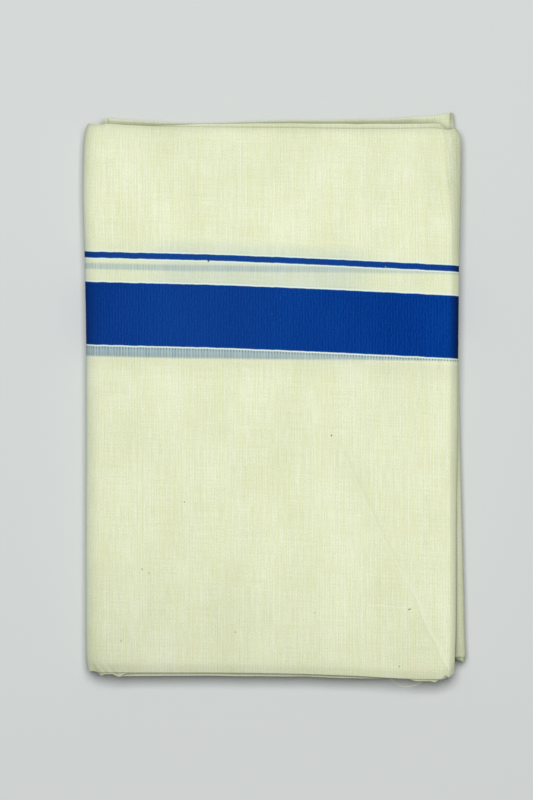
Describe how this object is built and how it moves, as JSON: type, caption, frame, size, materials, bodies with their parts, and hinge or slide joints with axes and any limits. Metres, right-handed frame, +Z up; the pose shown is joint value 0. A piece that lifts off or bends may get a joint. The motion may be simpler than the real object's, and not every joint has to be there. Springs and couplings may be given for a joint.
{
  "type": "folded dhoti cloth",
  "caption": "Cream cotton dhoti cloth with a wide blue woven band and a narrow blue stripe across it, pleated and folded flat into an oblong packet with soft rounded folds at both long sides.",
  "frame": {"origin": "middle of the flat underside, centred on the packet's length and width", "axes": "+Z up through the packet's thickness from the surface it lies on, +Y along its long side towards the end nearer the blue band, +X to the side where the top bundle's rolled end lies over the lower fold"},
  "size_m": [0.1708, 0.253, 0.0156],
  "materials": {
    "front_wrap": "matt woven cotton with a wide blue band and a narrow blue stripe",
    "back_wrap": "matt woven cotton",
    "folded_layers": "matt woven cotton, stacked folded edges"
  },
  "bodies": {
    "root": {"front_wrap": "front_wrap", "back_wrap": "back_wrap", "folded_layers": "folded_layers"}
  },
  "joints": []
}
